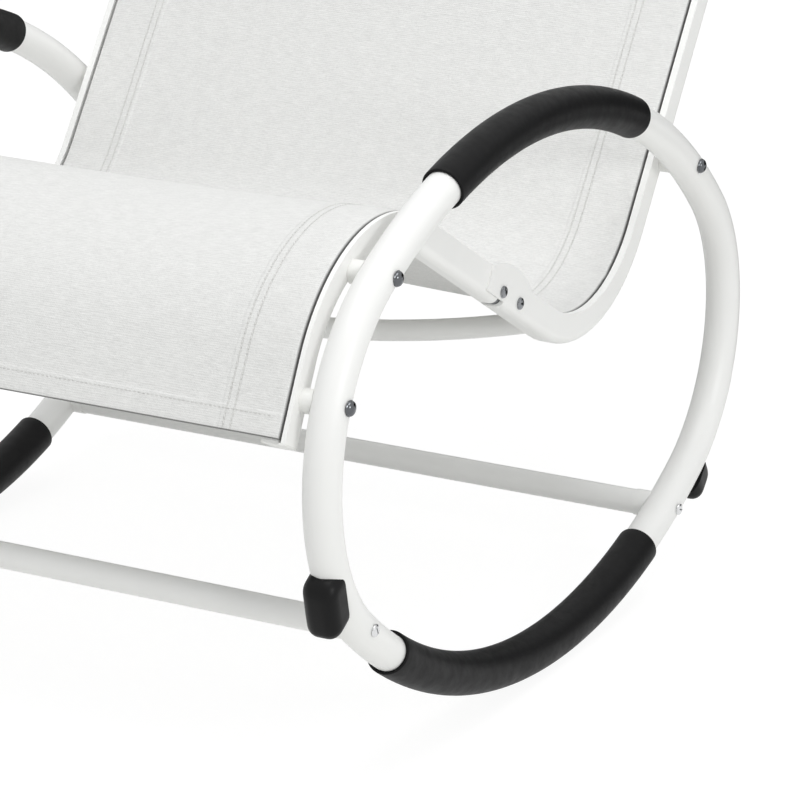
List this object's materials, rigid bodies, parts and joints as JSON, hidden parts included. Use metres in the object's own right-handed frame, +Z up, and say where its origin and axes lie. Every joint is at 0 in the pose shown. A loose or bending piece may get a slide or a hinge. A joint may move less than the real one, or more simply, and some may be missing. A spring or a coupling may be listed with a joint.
{
  "type": "outdoor rocking chair",
  "caption": "Reclined outdoor rocking chair: two oval tube rings that rock on the floor carry a one-piece fabric sling held between bent rails.",
  "frame": {"origin": "on the floor, halfway along the chair and midway between the two side rings", "axes": "+Z up; the sitter faces -Y, so +Y runs from the footwards end to the top of the back; +X is the sitter's left"},
  "size_m": [0.609, 1.0046, 0.8744],
  "materials": {
    "white_tube": "smooth satin white powder coat on steel tube",
    "white_rails": "smooth satin white powder coat on extruded aluminium",
    "white_plastic": "moulded white plastic",
    "sling_cloth": "white woven coated-yarn mesh",
    "welt_cord": "extruded white plastic rod",
    "black_grip": "black soft tube with a low sheen",
    "black_rubber": "black moulded rubber",
    "chrome_bolts": "chrome-plated steel",
    "bright_screws": "zinc-plated steel",
    "bare_steel": "bare steel, hidden inside the frame"
  },
  "bodies": {
    "root": {"left_ring": "white_tube", "right_ring": "white_tube", "left_weld_cover": "white_tube", "right_weld_cover": "white_tube", "left_weld_sleeve": "bare_steel", "right_weld_sleeve": "bare_steel", "left_arm_grip": "black_grip", "right_arm_grip": "black_grip", "left_rocker_grip": "black_grip", "right_rocker_grip": "black_grip", "left_front_stop": "black_rubber", "right_front_stop": "black_rubber", "left_rear_stop": "black_rubber", "right_rear_stop": "black_rubber", "front_cross_tube": "white_tube", "rear_cross_tube": "white_tube", "cross_tube_sockets": "white_tube", "cross_tube_plugs": "bare_steel", "cross_tube_screws": "bright_screws", "left_seat_rail": "white_rails", "right_seat_rail": "white_rails", "left_back_rail": "white_rails", "right_back_rail": "white_rails", "left_rail_joiner": "bare_steel", "right_rail_joiner": "bare_steel", "joint_screws": "bright_screws", "seat_front_bar": "white_tube", "bowed_bar": "white_tube", "top_bar": "white_rails", "rail_foot_plugs": "white_plastic", "rail_top_plugs": "white_plastic", "sling": "sling_cloth", "left_welt": "welt_cord", "right_welt": "welt_cord", "rail_spacers": "white_plastic", "frame_bolts": "chrome_bolts", "rail_nuts": "bare_steel"}
  },
  "joints": []
}
